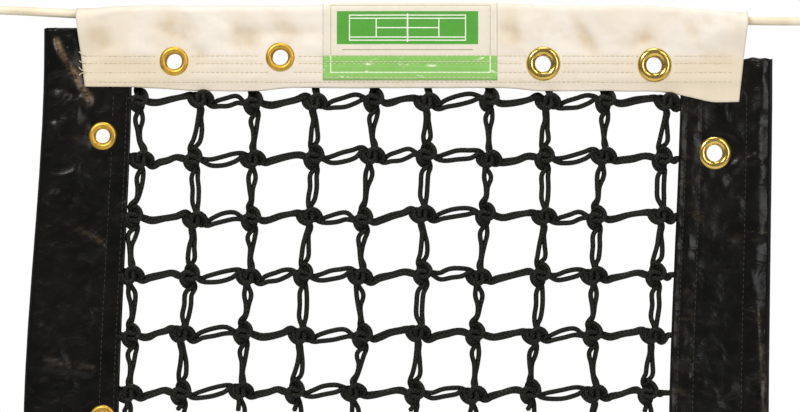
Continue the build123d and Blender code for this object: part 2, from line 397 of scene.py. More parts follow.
def add_mesh(name, points, faces, material):
    """A smooth-shaded piece in the scene."""
    mesh = bpy.data.meshes.new(name)
    mesh.from_pydata([tuple(p) for p in points], [], faces)
    mesh.materials.append(material)
    mesh.polygons.foreach_set("use_smooth", [True] * len(mesh.polygons))
    mesh.update()
    return put(name, mesh)


def grid_faces(lines, deep, turned=False):
    """Quads between lines of deep points each, wound one way or the other."""
    faces = []
    for i in range(lines - 1):
        for a in range(i * deep, (i + 1) * deep - 1):
            face = (a, a + deep, a + deep + 1, a + 1)
            faces.append((face[0], face[3], face[2], face[1]) if turned else face)
    return faces


def smooth_path(points, steps):
    """Catmull-Rom samples through rows of numbers, steps to each span."""
    points = np.asarray(points, float)
    before = np.vstack([2 * points[0] - points[1], points, 2 * points[-1] - points[-2]])
    t = (np.arange(steps) / steps)[None, :, None]
    p0, p1, p2, p3 = (before[i:len(before) - 3 + i, None, :] for i in range(4))
    spans = 0.5 * (2 * p1 + (p2 - p0) * t + (2 * p0 - 5 * p1 + 4 * p2 - p3) * t ** 2
                   + (3 * p1 - p0 - 3 * p2 + p3) * t ** 3)
    return np.vstack([spans.reshape(-1, points.shape[1]), points[-1]])


def tube_mesh(path, radius, sides):
    """A capped tube: its points and faces, and each corner's place round and along it."""
    path = np.asarray(path, float)
    heading = np.gradient(path, axis=0)
    heading /= np.linalg.norm(heading, axis=1)[:, None] + 1e-12
    normal = np.zeros_like(path)
    first = np.cross(heading[0], (0.0, 1.0, 0.0))
    if np.linalg.norm(first) < 0.1:
        first = np.cross(heading[0], (1.0, 0.0, 0.0))
    normal[0] = first / np.linalg.norm(first)
    for i in range(1, len(path)):
        carried = normal[i - 1] - heading[i] * normal[i - 1].dot(heading[i])
        normal[i] = carried / (np.linalg.norm(carried) + 1e-12)
    other = np.cross(heading, normal)
    turn = (FULL_TURN * np.arange(sides) / sides)[None, :, None]
    ring = np.cos(turn) * normal[:, None, :] + np.sin(turn) * other[:, None, :]
    points = (path[:, None, :] + radius * ring).reshape(-1, 3)
    rings = len(path)
    caps = np.array([path[0] - heading[0] * radius * 0.6, path[-1] + heading[-1] * radius * 0.6])
    points = np.vstack([points, caps])
    far = np.concatenate([[0], np.cumsum(np.linalg.norm(np.diff(path, axis=0), axis=1))])
    faces, places = [], []
    for i in range(rings - 1):
        for j in range(sides):
            k = (j + 1) % sides
            faces.append((i * sides + j, i * sides + k, (i + 1) * sides + k, (i + 1) * sides + j))
            places += [(j / sides, far[i]), ((j + 1) / sides, far[i]),
                       ((j + 1) / sides, far[i + 1]), (j / sides, far[i + 1])]
    start, end = rings * sides, rings * sides + 1
    for j in range(sides):
        k = (j + 1) % sides
        faces.append((start, k, j))
        places += [(j / sides, 0.0)] * 3
        last = (rings - 1) * sides
        faces.append((end, last + j, last + k))
        places += [(j / sides, far[-1])] * 3
    return points, faces, places


def merge_tubes(name, tubes, material, braid_pitch=None):
    """One piece from many tubes. With braid_pitch, the strand UV counts plaits along each tube."""
    points, faces, places, base = [], [], [], 0
    for tube_points, tube_faces, tube_places in tubes:
        points.append(tube_points)
        faces += [tuple(base + i for i in face) for face in tube_faces]
        places += tube_places
        base += len(tube_points)
    piece = add_mesh(name, np.vstack(points), faces, material)
    if braid_pitch:
        layer = piece.data.uv_layers.new(name="strand")
        flat = np.asarray(places, float)
        flat[:, 1] /= braid_pitch
        layer.data.foreach_set("uv", flat.ravel())
    return piece


def wander(x, z, size, seed):
    """Smooth noise from -1 to 1 with features of this size in metres. Each seed is another field."""
    return noise.noise(Vector((x / size, seed * 7.31, z / size)))


def rough_wander(x, z, size, seed):
    """The same with finer noise on it."""
    return noise.fractal(Vector((x / size, seed * 7.31, z / size)), 0.7, 2.2, 4)


# How the whole net hangs

TWINE = 3.8 * MM
COLUMNS, ROWS, DOUBLE_ROWS = 10, 22, 6
FIRST_COLUMN, COLUMN_PITCH = -0.210, 0.0443
FIRST_ROW, ROW_PITCH = -0.0617, 0.0447


def ease(value, low, high):
    """0 at low and below, 1 at high and above, with a soft start and end."""
    t = min(max((value - low) / (high - low), 0.0), 1.0)
    return t * t * (3 - 2 * t)


def lean(z):
    """How far right of plumb the net hangs at this height: it leans left, and comes back lower down."""
    return 0.0035 - 0.0135 * ease(z, -0.04, -0.32) + 0.010 * ease(z, -0.45, -1.0)


def knot_place(column, row, offsets):
    """The middle of a knot, out of square by a few millimetres."""
    dx, dz, dy = offsets[column][row]
    z = FIRST_ROW - row * ROW_PITCH
    x = FIRST_COLUMN + column * COLUMN_PITCH + lean(z)
    if column == 0:
        x += 3.5 * MM * ease(-z, 0.10, 0.24)
    if row == 0:
        z -= 1.5 * MM
    return np.array([x + dx, dy, z + dz])


# Netting: every rope runs in a staircase, into a knot from its left and out below, then in from above and out
# on its right. Each knot is two interlocked loops, one of each rope.

BRAID_PITCH = 3.4 * MM
FLIPPED_LEGS = 0.12           # share of the legs that don't follow their column's style
TIGHT_GAP = 1.5 * MM          # half gap between a rope's two strands inside a knot
# A rope from the left that leaves below: x, y and z in millimetres from the knot's middle, and its roll.
KNOT_LOOP = [
    (-8.0, 1.8, 1.3, 0.7), (-2.4, 3.4, -0.2, 1.1), (3.4, 3.2, -1.5, 0.9), (7.4, 0.6, 1.2, 0.6),
    (5.8, -2.6, 4.6, 0.9), (1.9, -5.2, 5.5, 1.2), (-1.9, -4.6, 2.4, 1.5), (-2.0, -3.2, -3.6, 1.4),
    (-1.0, -1.8, -8.4, 0.8),
]


def knot_loop(standing, crossing):
    """The loop's points and rolls, for the rope from the left or the one that crosses it from above."""
    loop = np.array(KNOT_LOOP)
    points, roll = loop[:, :3], loop[:, 3]
    if crossing:
        points, roll = points[::-1] * (-1, 1, -1), roll[::-1]
    if standing:
        points, roll = points[::-1, ::-1], roll[::-1]
    drop = np.outer(points[:, 0], (0, 0, -0.3))
    return (points + drop) * MM, roll


def leg_points(start, end, style, rng):
    """Points between two knots, with the strands' half gap and twist at each: x, y, z, gap, twist."""
    along = end - start
    bow = rng.uniform(-1.5, 1.5) * MM
    side = np.array([-along[2], 0, along[0]]) / (np.linalg.norm(along) + 1e-9)
    gaps, twists = style
    rows = []
    for t, share, gap, twist in zip((0.14, 0.5, 0.86), (0.5, 1.0, 0.5), gaps, twists):
        middle = start + along * t + side * bow * share
        middle[1] += rng.uniform(-0.4, 0.4) * MM
        rows.append([*middle, gap * MM, twist])
    return rows


def leg_style(horizontal, column, row, rng):
    """Half gaps in millimetres and rolls at three places along a doubled leg."""
    standing = (column + row) % 2 == 0
    even = column % 2 == 0
    if row > 0 and rng.random() < FLIPPED_LEGS:
        even = not even
    if horizontal:
        if even:
            roll = rng.uniform(0.55, 0.95)
            return (1.5, 1.65, 1.5), (roll, roll + rng.uniform(0.0, 0.5), roll + 0.3)
        wide = rng.uniform(2.7, 3.5)
        return (wide * 0.75, wide, wide * 0.9), (0.1, 0.0, 0.05)
    if even:
        return (rng.uniform(2.3, 2.9), 1.6, 1.4), (0.1, rng.uniform(0.7, 1.1), 1.3)
    if standing:
        thin = rng.uniform(2.2, 2.7)
        return (thin, thin, thin), (0.1, 0.0, 0.1)
    return (1.6, rng.uniform(1.9, 2.3), rng.uniform(2.5, 3.0)), (0.9, 0.3, 0.0)


def rope_points(column, row, above, knots, rng):
    """One staircase rope: rows of x, y, z, half gap and twist, and the row where its doubling ends."""
    entry = np.array([0, 0, 16 * MM]) if above else np.array([-15 * MM, 0, 0])
    first = knots[column][row]
    rows = [[*(first + entry), 0.2 * MM, 0.2], [*(first + 0.75 * entry), 0.5 * MM, 0.2]]
    single_from = None
    while True:
        knot = knots[column][row]
        if row >= DOUBLE_ROWS and single_from is None:
            single_from = len(rows)
        tilt = rng.uniform(-0.16, 0.16)
        size = rng.uniform(0.94, 1.06) * (1.0 if row < DOUBLE_ROWS else 0.8)
        cos, sin = math.cos(tilt), math.sin(tilt)
        turn = size * np.array([[cos, 0, sin], [0, 1, 0], [-sin, 0, cos]])
        points, rolls = knot_loop((column + row) % 2 == 0, above)
        for point, roll in zip(points @ turn.T, rolls):
            behind = 3.6 * MM * ease(point[2], 3 * MM, 8 * MM) if row == 0 else 0.0
            rows.append([*(knot + point + (0, behind, 0)), TIGHT_GAP, roll])
        column, row, was_above = (column + 1, row, True) if above else (column, row + 1, False)
        if column >= COLUMNS or row >= ROWS:
            out = np.array([18 * MM, 0, 0]) if was_above else np.array([0, 0, -20 * MM])
            rows.append([*(knot + 0.65 * out), 0.5 * MM, 0.2])
            rows.append([*(knot + out), 0.2 * MM, 0.2])
            break
        ahead = knots[column][row]
        reach = 11.0 * MM * (ahead - knot) / np.linalg.norm(ahead - knot)
        from_column, from_row = (column - 1, row) if was_above else (column, row - 1)
        style = leg_style(was_above, from_column, from_row, rng)
        climb = np.array([0, 0, 2.6 * MM if was_above else 0.0])  # across legs rise from left to right
        rows += leg_points(knot + reach - climb, ahead - reach + climb, style, rng)
        above = not above
    return np.array(rows), single_from


def strand_path(rows, side, steps):
    """One strand of a rope: half a gap to one side of the rope's middle."""
    fine = smooth_path(rows, steps)
    heading = np.gradient(fine[:, :3], axis=0)
    flat = heading[:, [0, 2]]
    flat = flat / (np.linalg.norm(flat, axis=1)[:, None] + 1e-6)
    for _ in range(2):
        flat[1:-1] = (flat[:-2] + 2 * flat[1:-1] + flat[2:]) / 4
    flat = flat / (np.linalg.norm(flat, axis=1)[:, None] + 1e-6)
    across = np.column_stack([-flat[:, 1], np.zeros(len(fine)), flat[:, 0]])
    back = np.array([0.0, 1.0, 0.0])
    gap, twist = fine[:, 3:4], fine[:, 4:5]
    return fine[:, :3] + side * gap * (np.cos(twist) * across + np.sin(twist) * back)


def netting(material):
    """The doubled twines of the upper rows and the single ones below, shared out to a few pieces."""
    rng = random.Random(SEED)
    spreads = (1.5 * MM, 1.05 * MM, 0.3 * MM)
    offsets = [[[rng.gauss(0, spread) for spread in spreads] for _ in range(ROWS)] for _ in range(COLUMNS)]
    knots = [[knot_place(c, r, offsets) for r in range(ROWS)] for c in range(COLUMNS)]
    starts = [(0, r, False) for r in range(ROWS)] + [(c, 0, True) for c in range(COLUMNS)]
    doubled, single = [], []
    for column, row, above in starts:
        rows, single_from = rope_points(column, row, above, knots, rng)
        if single_from is None:
            for side in (-1, 1):
                doubled.append(tube_mesh(strand_path(rows, side, 5), TWINE / 2, 10))
            continue
        lone = rows.copy()
        lone[single_from:, 3] *= 0.1
        if single_from <= 2:
            lone[:, 3] *= 0.1
            single.append(tube_mesh(strand_path(lone, 1, 4), TWINE / 2, 8))
            continue
        upper = rows[:single_from - 2]
        doubled.append(tube_mesh(strand_path(upper, -1, 5), TWINE / 2, 10))
        single.append(tube_mesh(strand_path(lone, 1, 5), TWINE / 2, 10))
    for name, tubes, node, share in (("doubled_twines", doubled, "netting_double", 2),
                                     ("single_twines", single, "netting_single", 5)):
        for number in range(share):
            piece = merge_tubes(f"{name}_{number + 1}", tubes[number::share], material, BRAID_PITCH)
            finish_piece(piece, "net", "black_twine", node)


# Headband

HEAD_HALF = 0.2545
HEAD_MID = 4.2 * MM           # middle of the vinyl from the net's plane
HEAD_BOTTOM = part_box("headband")[0][2]
STITCH_ROWS = (-0.0291, -0.0347, -0.0413, -0.0487)
STITCH_PITCH = 3.7 * MM
LABEL_LEFT, LABEL_RIGHT, LABEL_LOW = -0.0676, 0.0646, -0.0474


def grommet_centres(*nodes):
    """(x, z) of each ring in these CAD nodes."""
    centres = []
    for name in nodes:
        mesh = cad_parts[name].data
        points = np.array([v.co[:] for v in mesh.vertices])
        left = list(range(len(points)))
        while left:
            seed = points[left[0]]
            near = {i for i in left if np.hypot(*(points[i] - seed)[[0, 2]]) < 0.03}
            ring = points[sorted(near)]
            centres.append(tuple((ring[:, axis].min() + ring[:, axis].max()) / 2 for axis in (0, 2)))
            left = [i for i in left if i not in near]
    return centres


def away_from(x, z, centres, reach):
    """0 at a grommet and 1 beyond reach from every one."""
    nearest = min((math.hypot(x - cx, z - cz) for cx, cz in centres), default=1.0)
    return ease(nearest, reach * 0.55, reach)


def head_top(x):
    """Height of the headband's fold, which wanders and drops at both ends."""
    level = 8.8 * MM + 2.2 * MM * math.exp(-(x / 0.09) ** 2) + 1.3 * MM * wander(x, 0, 0.055, 1)
    level += 0.5 * MM * wander(x, 0, 0.018, 2)
    level -= 1.0 * MM * ease(-x, 0.225, 0.2545)
    return level - 4.9 * MM * ease(x, 0.175, 0.2545)


def head_bottom(x):
    """Height of the headband's hem, higher under its left end and lower under its right one."""
    level = HEAD_BOTTOM + 0.5 * MM * wander(x, 0, 0.06, 3) + 0.4 * MM * wander(x, 0, 0.02, 4)
    level += 3.4 * MM * ease(-x, 0.155, 0.215) + 2.6 * MM * ease(0.11 - abs(x + 0.01), 0.0, 0.03)
    return level - 8.4 * MM * ease(x, 0.18, 0.24)


def fold_rise(x):
    """How far the fold rises over the place where the two layers turn into it."""
    return HEAD_MID + 4.0 * MM * ease(abs(x), 0.222, 0.2545)


def head_half_gap(x, z):
    """Half the distance between the two layers: flared at the ends round the cable, and closed below."""
    flare = 5.0 * MM * ease(abs(x), 0.222, 0.2545) * ease(z, -0.030, -0.006)
    hem = 1.1 * MM * ease(-z, 0.046, 0.054)
    return HEAD_MID + flare - hem


# Dents in the headband's front: x, z, half width, half height and depth in millimetres, and slant.
DENTS = [
    (-237, -14, 9, 12, 1.5, 0.3), (-180, -8, 14, 13, 1.6, 0.4), (-163, -28, 8, 8, 0.9, 0),
    (-127, -13, 9, 12, 1.3, 0.5), (-96, -9, 9, 11, 1.3, 0.6), (76, -12, 8, 12, 1.4, 0.7),
    (131, -13, 6, 15, 1.5, 1.0), (176, -15, 11, 9, 1.1, -0.3), (213, -11, 7, 9, 1.2, 0.6),
    (-215, -36, 22, 7, 0.5, 0.2), (232, -30, 14, 8, 0.8, 0.3),
]


def dent_depth(x, z):
    """Metres below the smooth skin."""
    deep = 0.0
    for cx, cz, wide, tall, depth, slant in DENTS:
        down = (z / MM - cz) / tall
        across = (x / MM - cx + slant * (z / MM - cz) * 0.5) / wide
        deep += depth * MM * math.exp(-across * across - down * down)
    return deep


def head_relief(x, z, centres):
    """How far the front layer stands out or dents in at a point."""
    free = away_from(x, z, centres, 0.021)
    covered = ease(x, LABEL_LEFT - 0.01, LABEL_LEFT) * ease(-x, -LABEL_RIGHT - 0.01, -LABEL_RIGHT)
    on_label = 1 - 0.6 * covered
    upper = ease(z, -0.032, -0.018)
    billow = 1.9 * MM * wander(x, z, 0.042, 5) + 0.9 * MM * rough_wander(x, z, 0.026, 6)
    slump = 1.2 * MM * wander(x + 0.5 * z, z, 0.017, 7)
    relief = upper * free * on_label * (billow + slump)
    for row in STITCH_ROWS:
        pull = 1 + 0.5 * math.cos(FULL_TURN * x / STITCH_PITCH)
        relief -= free * 0.32 * MM * pull * math.exp(-((z - row) / (1.1 * MM)) ** 2)
    relief -= free * on_label * 1.5 * dent_depth(x, z)
    relief *= 1 - 0.8 * ease(abs(x), 0.232, HEAD_HALF)
    if relief < 0:
        relief *= (0.12 + 0.88 * ease(abs(z), 2.5 * MM, 13 * MM)) * (1 - 0.5 * ease(abs(x), 0.19, 0.215))
    pucker = (1 - upper) * free * 0.45 * MM * wander(x, z * 0.4, 0.0075, 8)
    return relief + pucker + (1 - upper) * free * 0.6 * MM * wander(x, z, 0.024, 9)


def head_section(x, z_share, side, centres):
    """A point of the front (side -1) or back (side 1) leg, z_share of the way from the hem to the fold."""
    low, high = head_bottom(x), head_top(x) - fold_rise(x)
    z = low + (high - low) * z_share
    if side < 0:
        relief = head_relief(x, z, centres)
    else:
        along = 0.3               # the back takes its folds from another stretch of the same noise
        relief = 0.8 * head_relief(x + along, z, [(cx + along, cz) for cx, cz in centres])
    slant = ease(abs(x), 0.2, HEAD_HALF) * 6.3 * MM * (1 - z_share)
    return x - math.copysign(slant, x), side * (head_half_gap(x, z) + relief), z


def headband(material, centres):
    """The strip, folded over the cable, open round each grommet."""
    columns, leg_rows, fold_rows = 300, 44, 9
    points = []
    for i in range(columns + 1):
        x = HEAD_HALF * (2 * i / columns - 1)
        row = [head_section(x, k / leg_rows, -1, centres) for k in range(leg_rows + 1)]
        front, back = row[-1], head_section(x, 1, 1, centres)
        middle_y, radius = (front[1] + back[1]) / 2, (back[1] - front[1]) / 2
        rise = fold_rise(x)
        for k in range(1, fold_rows):
            turn = math.pi * k / fold_rows
            row.append((x, middle_y - radius * math.cos(turn), front[2] + rise * math.sin(turn)))
        row += [head_section(x, 1 - k / leg_rows, 1, centres) for k in range(leg_rows + 1)]
        points += row
    deep = 2 * (leg_rows + 1) + fold_rows - 1
    faces = open_round(points, grid_faces(columns + 1, deep), centres, 8.2 * MM)
    piece = add_mesh("headband_vinyl", points, faces, material)
    # painted shade: marks how much tan shade colour each point of the front takes, from its dents and dips
    dent_shade = piece.data.attributes.new("dent_shade", "FLOAT", "POINT")
    depths = [dent_depth(x, z) - 0.3 * head_relief(x, z, centres) if y < 0 else 0.0 for x, y, z in points]
    dent_shade.data.foreach_set("value", [min(max(depth / (1.5 * MM), 0.0), 1.0) for depth in depths])
    return thicken(piece, 1.0 * MM)


def open_round(points, faces, centres, radius):
    """The faces that aren't behind a grommet's flange."""
    kept = []
    for face in faces:
        x, z = (sum(points[i][a] for i in face) / len(face) for a in (0, 2))
        if all(math.hypot(x - cx, z - cz) > radius for cx, cz in centres):
            kept.append(face)
    return kept


def thicken(piece, thickness):
    """Gives a single sheet its thickness, half to each side."""
    made = piece.modifiers.new("thickness", "SOLIDIFY")
    made.thickness = thickness
    made.offset = 0
    return piece


# Side bands

BAND_FLAT = 2.05 * MM         # middle of a band's vinyl from the net's plane, where it lies flat
HEM_MID = 3.0 * MM            # the same for the bottom band
LOWER_PART = -0.33            # below this height the net comes back to plumb, and its meshes are coarser
# Ridges in the vinyl: the line's ends (x, z, x, z) in metres, then height and half width in millimetres.
LEFT_RIDGES = [
    (-0.279, -0.020, -0.2525, -0.064, 2.4, 4.2), (-0.262, -0.160, -0.236, -0.172, 1.5, 3.6),
    (-0.272, -0.262, -0.240, -0.268, 1.6, 3.4), (-0.266, -0.092, -0.238, -0.100, 1.0, 3.4),
]
RIGHT_RIDGES = [
    (0.243, -0.112, 0.262, -0.105, 2.1, 3.4), (0.242, -0.170, 0.266, -0.164, 1.8, 3.6),
    (0.262, -0.225, 0.268, -0.300, 1.4, 4.5), (0.250, -0.352, 0.268, -0.330, 1.6, 4.0),
    (0.206, -0.345, 0.226, -0.352, 1.4, 3.2),
]


def ridge_distance(x, z, ends, aside=(0.0, 0.0)):
    """Metres from a point to a ridge's line, moved aside by this much."""
    x0, z0, x1, z1 = ends
    along = ((x - x0) * (x1 - x0) + (z - z0) * (z1 - z0)) / ((x1 - x0) ** 2 + (z1 - z0) ** 2)
    spot = min(max(along, 0.0), 1.0)
    return math.hypot(x - aside[0] - x0 - spot * (x1 - x0), z - aside[1] - z0 - spot * (z1 - z0))


def ridge_noise(x, z, seed):
    """1 on a web of fine lines, and less away from them."""
    return 1 - abs(noise.noise(Vector((x, seed, z))))


class SideBand:
    """One side band: its edges, pocket seam and grommets, how it hangs, and its ridges and crumples."""

    def __init__(self, side, node, hang, stitches, top_wander, ridges, crumple):
        low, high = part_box(node)
        self.side, self.hang, self.stitches = side, hang, stitches
        self.top_wander, self.ridges, self.crumple = top_wander, ridges, crumple
        self.seed = 20 if side < 0 else 31
        self.outer, self.inner = (low[0], high[0]) if side < 0 else (high[0], low[0])
        self.back = high[1]
        self.top, self.foot = high[2], low[2]
        self.seam = side * 0.256
        self.centres = grommet_centres(f"{node}_grommets")

    def shift(self, x, z):
        """How far a point hangs out of plumb: more at the outer edge than at the inner one."""
        share = (x - self.inner) / (self.outer - self.inner)
        at_inner, at_outer = self.hang
        amount = at_inner + (at_outer - at_inner) * share
        out = 1 - 2 * ease(-z, 0.02, -LOWER_PART)
        return amount * (out if z > LOWER_PART else -1 + ease(-z, 0.45, 1.0))

    def relief(self, x, z, seed):
        """Height of the creased vinyl over its flat place."""
        free = away_from(x, z, self.centres, 0.020)
        puff = ease(abs(x), 0.236, 0.268) * ease(abs(self.outer) - abs(x), 0.0, 0.012)
        folds = 1.3 * MM * wander(x * 1.3, z * 1.5, 0.034, seed)
        folds += 0.5 * MM * rough_wander(x, z * 1.4, 0.02, seed + 1)
        crease = ridge_noise(x / 0.030 + z / 0.06, z / 0.020 - x / 0.09, seed * 3.7)
        wrinkle = ridge_noise(x / 0.011 - z / 0.06, z / 0.012, seed * 5.9)
        height = folds + 1.2 * MM * crease ** 7 + self.crumple(x) * MM * wrinkle ** 4
        pocket = ease(abs(x), 0.254, 0.262)
        height += pocket * 1.1 * MM * wander(x, z, 0.022, seed + 3)
        for *ends, tall, wide in self.ridges:
            height += tall * MM * math.exp(-(ridge_distance(x, z, ends) / (wide * MM)) ** 2)
        for line in self.stitches:
            near = math.exp(-((x - line) / (7 * MM)) ** 2)
            height = height * (1 - 0.55 * near) + near * 0.45 * MM * wander(0, z, 0.0045, seed + 2)
            height -= 0.3 * MM * math.exp(-((x - line) / (1.2 * MM)) ** 2)
        hem = head_bottom(x + self.shift(x, z))
        tucked = 1 - 0.85 * ease(z, hem - 0.010, hem - 0.001) * ease(-abs(x), -0.266, -HEAD_HALF)
        return free * tucked * (height + puff * 2.2 * MM)

    def painted_glint(self, x, z):
        """0 to 1: painted highlight on the lit upper sides of the ridges and in the crumpled places."""
        amount = 0.0
        for *ends, tall, wide in self.ridges:
            away = ridge_distance(x, z, ends, (2.2 * MM, 1.2 * MM))
            amount = max(amount, 0.13 * tall ** 2 * math.exp(-(away / (0.5 * wide * MM)) ** 2))
        fine = max(noise.noise(Vector((x / 0.006, 3.3, z / 0.0035))), 0.0)
        return min(amount + 0.16 * self.crumple(x) * fine ** 1.5, 1.0)

    def section(self, z):
        """Points round the band at one height, from its inner edge in front to its inner edge behind."""
        side, flat, seed = self.side, BAND_FLAT, self.seed
        front_count, back_count, pocket_count = 44, 16, 18
        pocket_deep = self.back - 0.4 * MM
        turn_in = self.outer - side * 3.0 * MM
        row = []
        for k in range(front_count + 1):
            x = self.inner + (turn_in - self.inner) * k / front_count
            row.append((x, -flat - self.relief(x, z, seed)))
        centre_x = (self.outer + self.seam) / 2
        half_wide = abs(self.outer - self.seam) / 2
        centre_y, half_deep = (pocket_deep - flat) / 2, (pocket_deep + flat) / 2
        for k in range(pocket_count + 1):
            turn = math.pi * (-0.28 + 1.08 * k / pocket_count)
            cos, sin = math.cos(turn), math.sin(turn)
            squash = 0.93 + 0.07 * wander(z, turn, 0.05, seed + 5)
            x = centre_x + side * half_wide * math.copysign(abs(cos) ** 0.75, cos)
            y = centre_y + half_deep * squash * math.copysign(abs(sin) ** 0.8, sin)
            row.append((x, y + 0.7 * MM * rough_wander(x + 0.2, z, 0.022, seed + 6)))
        for k in range(back_count + 1):
            x = self.seam + (self.inner - self.seam) * k / back_count
            row.append((x, flat + 0.6 * self.relief(x, z, seed + 7)))
        return row

    def mesh(self, material, name):
        """The band's piece, with how much painted highlight it takes at each point."""
        heights = [self.top]
        while heights[-1] > self.foot + 0.004:
            heights.append(heights[-1] - (3.0 * MM if heights[-1] > LOWER_PART else 6.0 * MM))
        points, glint_amounts = [], []
        for height in heights:
            row = self.section(height)
            for x, y in row:
                # painted highlight: how much tan glint colour this front point takes
                glint_amounts.append(self.painted_glint(x, height) if y < 0 else 0.0)
                z = height + self.top_wander(x) * ease(height, self.top - 0.05, self.top)
                if abs(x) < HEAD_HALF:
                    z = min(z, HEAD_BOTTOM + 0.04)
                points.append((x + self.shift(x, height), y, z))
        faces = grid_faces(len(heights), len(row), turned=True)
        faces = open_round(points, faces, self.centres, 7.9 * MM)
        piece = add_mesh(name, points, faces, material)
        piece.data.attributes.new("painted_glint", "FLOAT", "POINT").data.foreach_set("value", glint_amounts)
        return thicken(piece, 0.8 * MM)


def hem_leg(x, rim, fold, share, side):
    """A point of the bottom band's front or back leg, this share of the way from its rim down to its fold."""
    z = rim + (fold - rim) * share
    folds = 0.7 * MM * rough_wander(x, z + side, 0.02, 52) + 0.4 * MM * wander(x, z, 0.006, 53)
    return x, side * (HEM_MID + folds * math.sin(math.pi * share)), z


def bottom_band(material):
    """The strip folded up round the netting's lower edge."""
    low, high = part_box("bottom_band")
    fold = low[2] + HEM_MID
    columns, leg_rows, fold_rows = 170, 14, 8
    points = []
    for i in range(columns + 1):
        x = low[0] + (high[0] - low[0]) * i / columns
        rim = high[2] + 0.6 * MM * wander(x, 0, 0.03, 51)
        points += [hem_leg(x, rim, fold, k / leg_rows, -1) for k in range(leg_rows + 1)]
        for k in range(1, fold_rows):
            turn = math.pi * k / fold_rows
            points.append((x, -HEM_MID * math.cos(turn), fold - HEM_MID * math.sin(turn)))
        points += [hem_leg(x, rim, fold, 1 - k / leg_rows, 1) for k in range(leg_rows + 1)]
    deep = 2 * (leg_rows + 1) + fold_rows - 1
    faces = grid_faces(columns + 1, deep, turned=True)
    return thicken(add_mesh("bottom_band_vinyl", points, faces, material), 0.9 * MM)


# Stitching and label

BLACK_PITCH, BLACK_STITCH = 4.2 * MM, 2.4 * MM


def loose_end(z, lift):
    """A bit of thread that sticks out of a stitch row at the headband's left end."""
    return [(-0.2465, -0.0050, z), (-0.2490, -0.0056, z + 0.3 * lift), (-0.2510, -0.0059, z + 0.8 * lift),
            (-0.2518 - 0.3 * abs(lift), -0.0060, z + 1.5 * lift)]


def stitch_run(stitches, radius, material, name, loose=()):
    """Stitches from (start, end, side), each arched out to its side, and any loose ends."""
    tubes = [tube_mesh(smooth_path(end, 5), radius, 6) for end in loose]
    for start, end, side in stitches:
        start, end, out = np.array(start), np.array(end), np.array([0, side * radius, 0])
        arch = [start - 0.4 * out, (start + end) / 2 + 0.9 * out, end - 0.4 * out]
        tubes.append(tube_mesh(smooth_path(arch, 3), radius, 6))
    return merge_tubes(name, tubes, material)


def headband_stitches(material, centres, heights, name, span, sides, proud, loose=()):
    """Rows of stitches on the sides of the headband, or on the label."""
    low, high = span
    stitches = []
    for number, row in enumerate(heights):
        for side in sides:
            for n in range(int((high - low) / STITCH_PITCH)):
                start = low + n * STITCH_PITCH
                ends = [(x, row + 0.35 * MM * wander(x, row, 0.05, 61 + number))
                        for x in (start, start + STITCH_PITCH * 0.72)]
                if all(away_from(x, z, centres, 0.0135) == 1 for x, z in ends):
                    stitches.append([surface_point(x, z, side, centres, proud) for x, z in ends] + [side])
    return stitch_run(stitches, 0.33 * MM, material, name, loose)


def surface_point(x, z, side, centres, proud):
    """A point this far proud of the middle of the headband's front or back, at x and z."""
    low, high = head_bottom(x), head_top(x) - fold_rise(x)
    share = (z - low) / (high - low)
    _, y, _ = head_section(x, share, side, centres)
    return x, y + side * proud, z


def side_stitches(band, material, name):
    """Rows of stitches down a side band."""
    stitches = []
    for x in band.stitches:
        z = HEAD_BOTTOM - 0.004
        while z > -1.008:
            if away_from(x, z - 0.001, band.centres, 0.0132) == 1:
                ends = [(x + band.shift(x, end), -BAND_FLAT - band.relief(x, end, band.seed) - 0.4 * MM, end)
                        for end in (z, z - BLACK_STITCH)]
                stitches.append([*ends, -1])
            z -= BLACK_PITCH
    return stitch_run(stitches, 0.28 * MM, material, name)


def bottom_stitches(material, name):
    """Two rows of stitches along the bottom band."""
    stitches = []
    for row in (-1.019, -1.036):
        x = -0.2515
        while x < 0.249:
            ends = [(end, -3.75 * MM, row + 0.3 * MM * wander(end, 0, 0.04, 71))
                    for end in (x, x + BLACK_STITCH)]
            stitches.append([*ends, -1])
            x += BLACK_PITCH
    return stitch_run(stitches, 0.28 * MM, material, name)


def label(material, centres):
    """A printed film sewn on the headband, which follows its dents."""
    columns, rows = 90, 44
    points = []
    for i in range(columns + 1):
        x = LABEL_LEFT + (LABEL_RIGHT - LABEL_LEFT) * i / columns
        top = head_top(x) + 0.7 * MM
        fold_z = head_top(x) - fold_rise(x)
        for k in range(rows + 1):
            z = LABEL_LOW + (top - LABEL_LOW) * k / rows
            _, y, _ = surface_point(x, min(z, fold_z), -1, centres, 0.85 * MM)
            if z > fold_z:
                y += 1.2 * MM * ease(z, fold_z, top)
            points.append((x, y, z))
    return thicken(add_mesh("label_film", points, grid_faces(columns + 1, rows + 1), material), 0.25 * MM)


def inside(s, at, left, right, low, high):
    """1 inside a rectangle and 0 outside it."""
    soft = 0.15 * MM
    sides = ((at["X"], left, 0, 1), (at["X"], right, 1, 0), (at["Z"], low, 0, 1), (at["Z"], high, 1, 0))
    return s.fold("MULTIPLY", [s.span(along, edge - soft, edge + soft, a, b) for along, edge, a, b in sides])


def frame_line(s, at, left, right, low, high, wide):
    """The outline of a rectangle."""
    half = wide / 2
    outer = inside(s, at, left - half, right + half, low - half, high + half)
    inner = inside(s, at, left + half, right - half, low + half, high - half)
    return s.math("SUBTRACT", outer, inner)


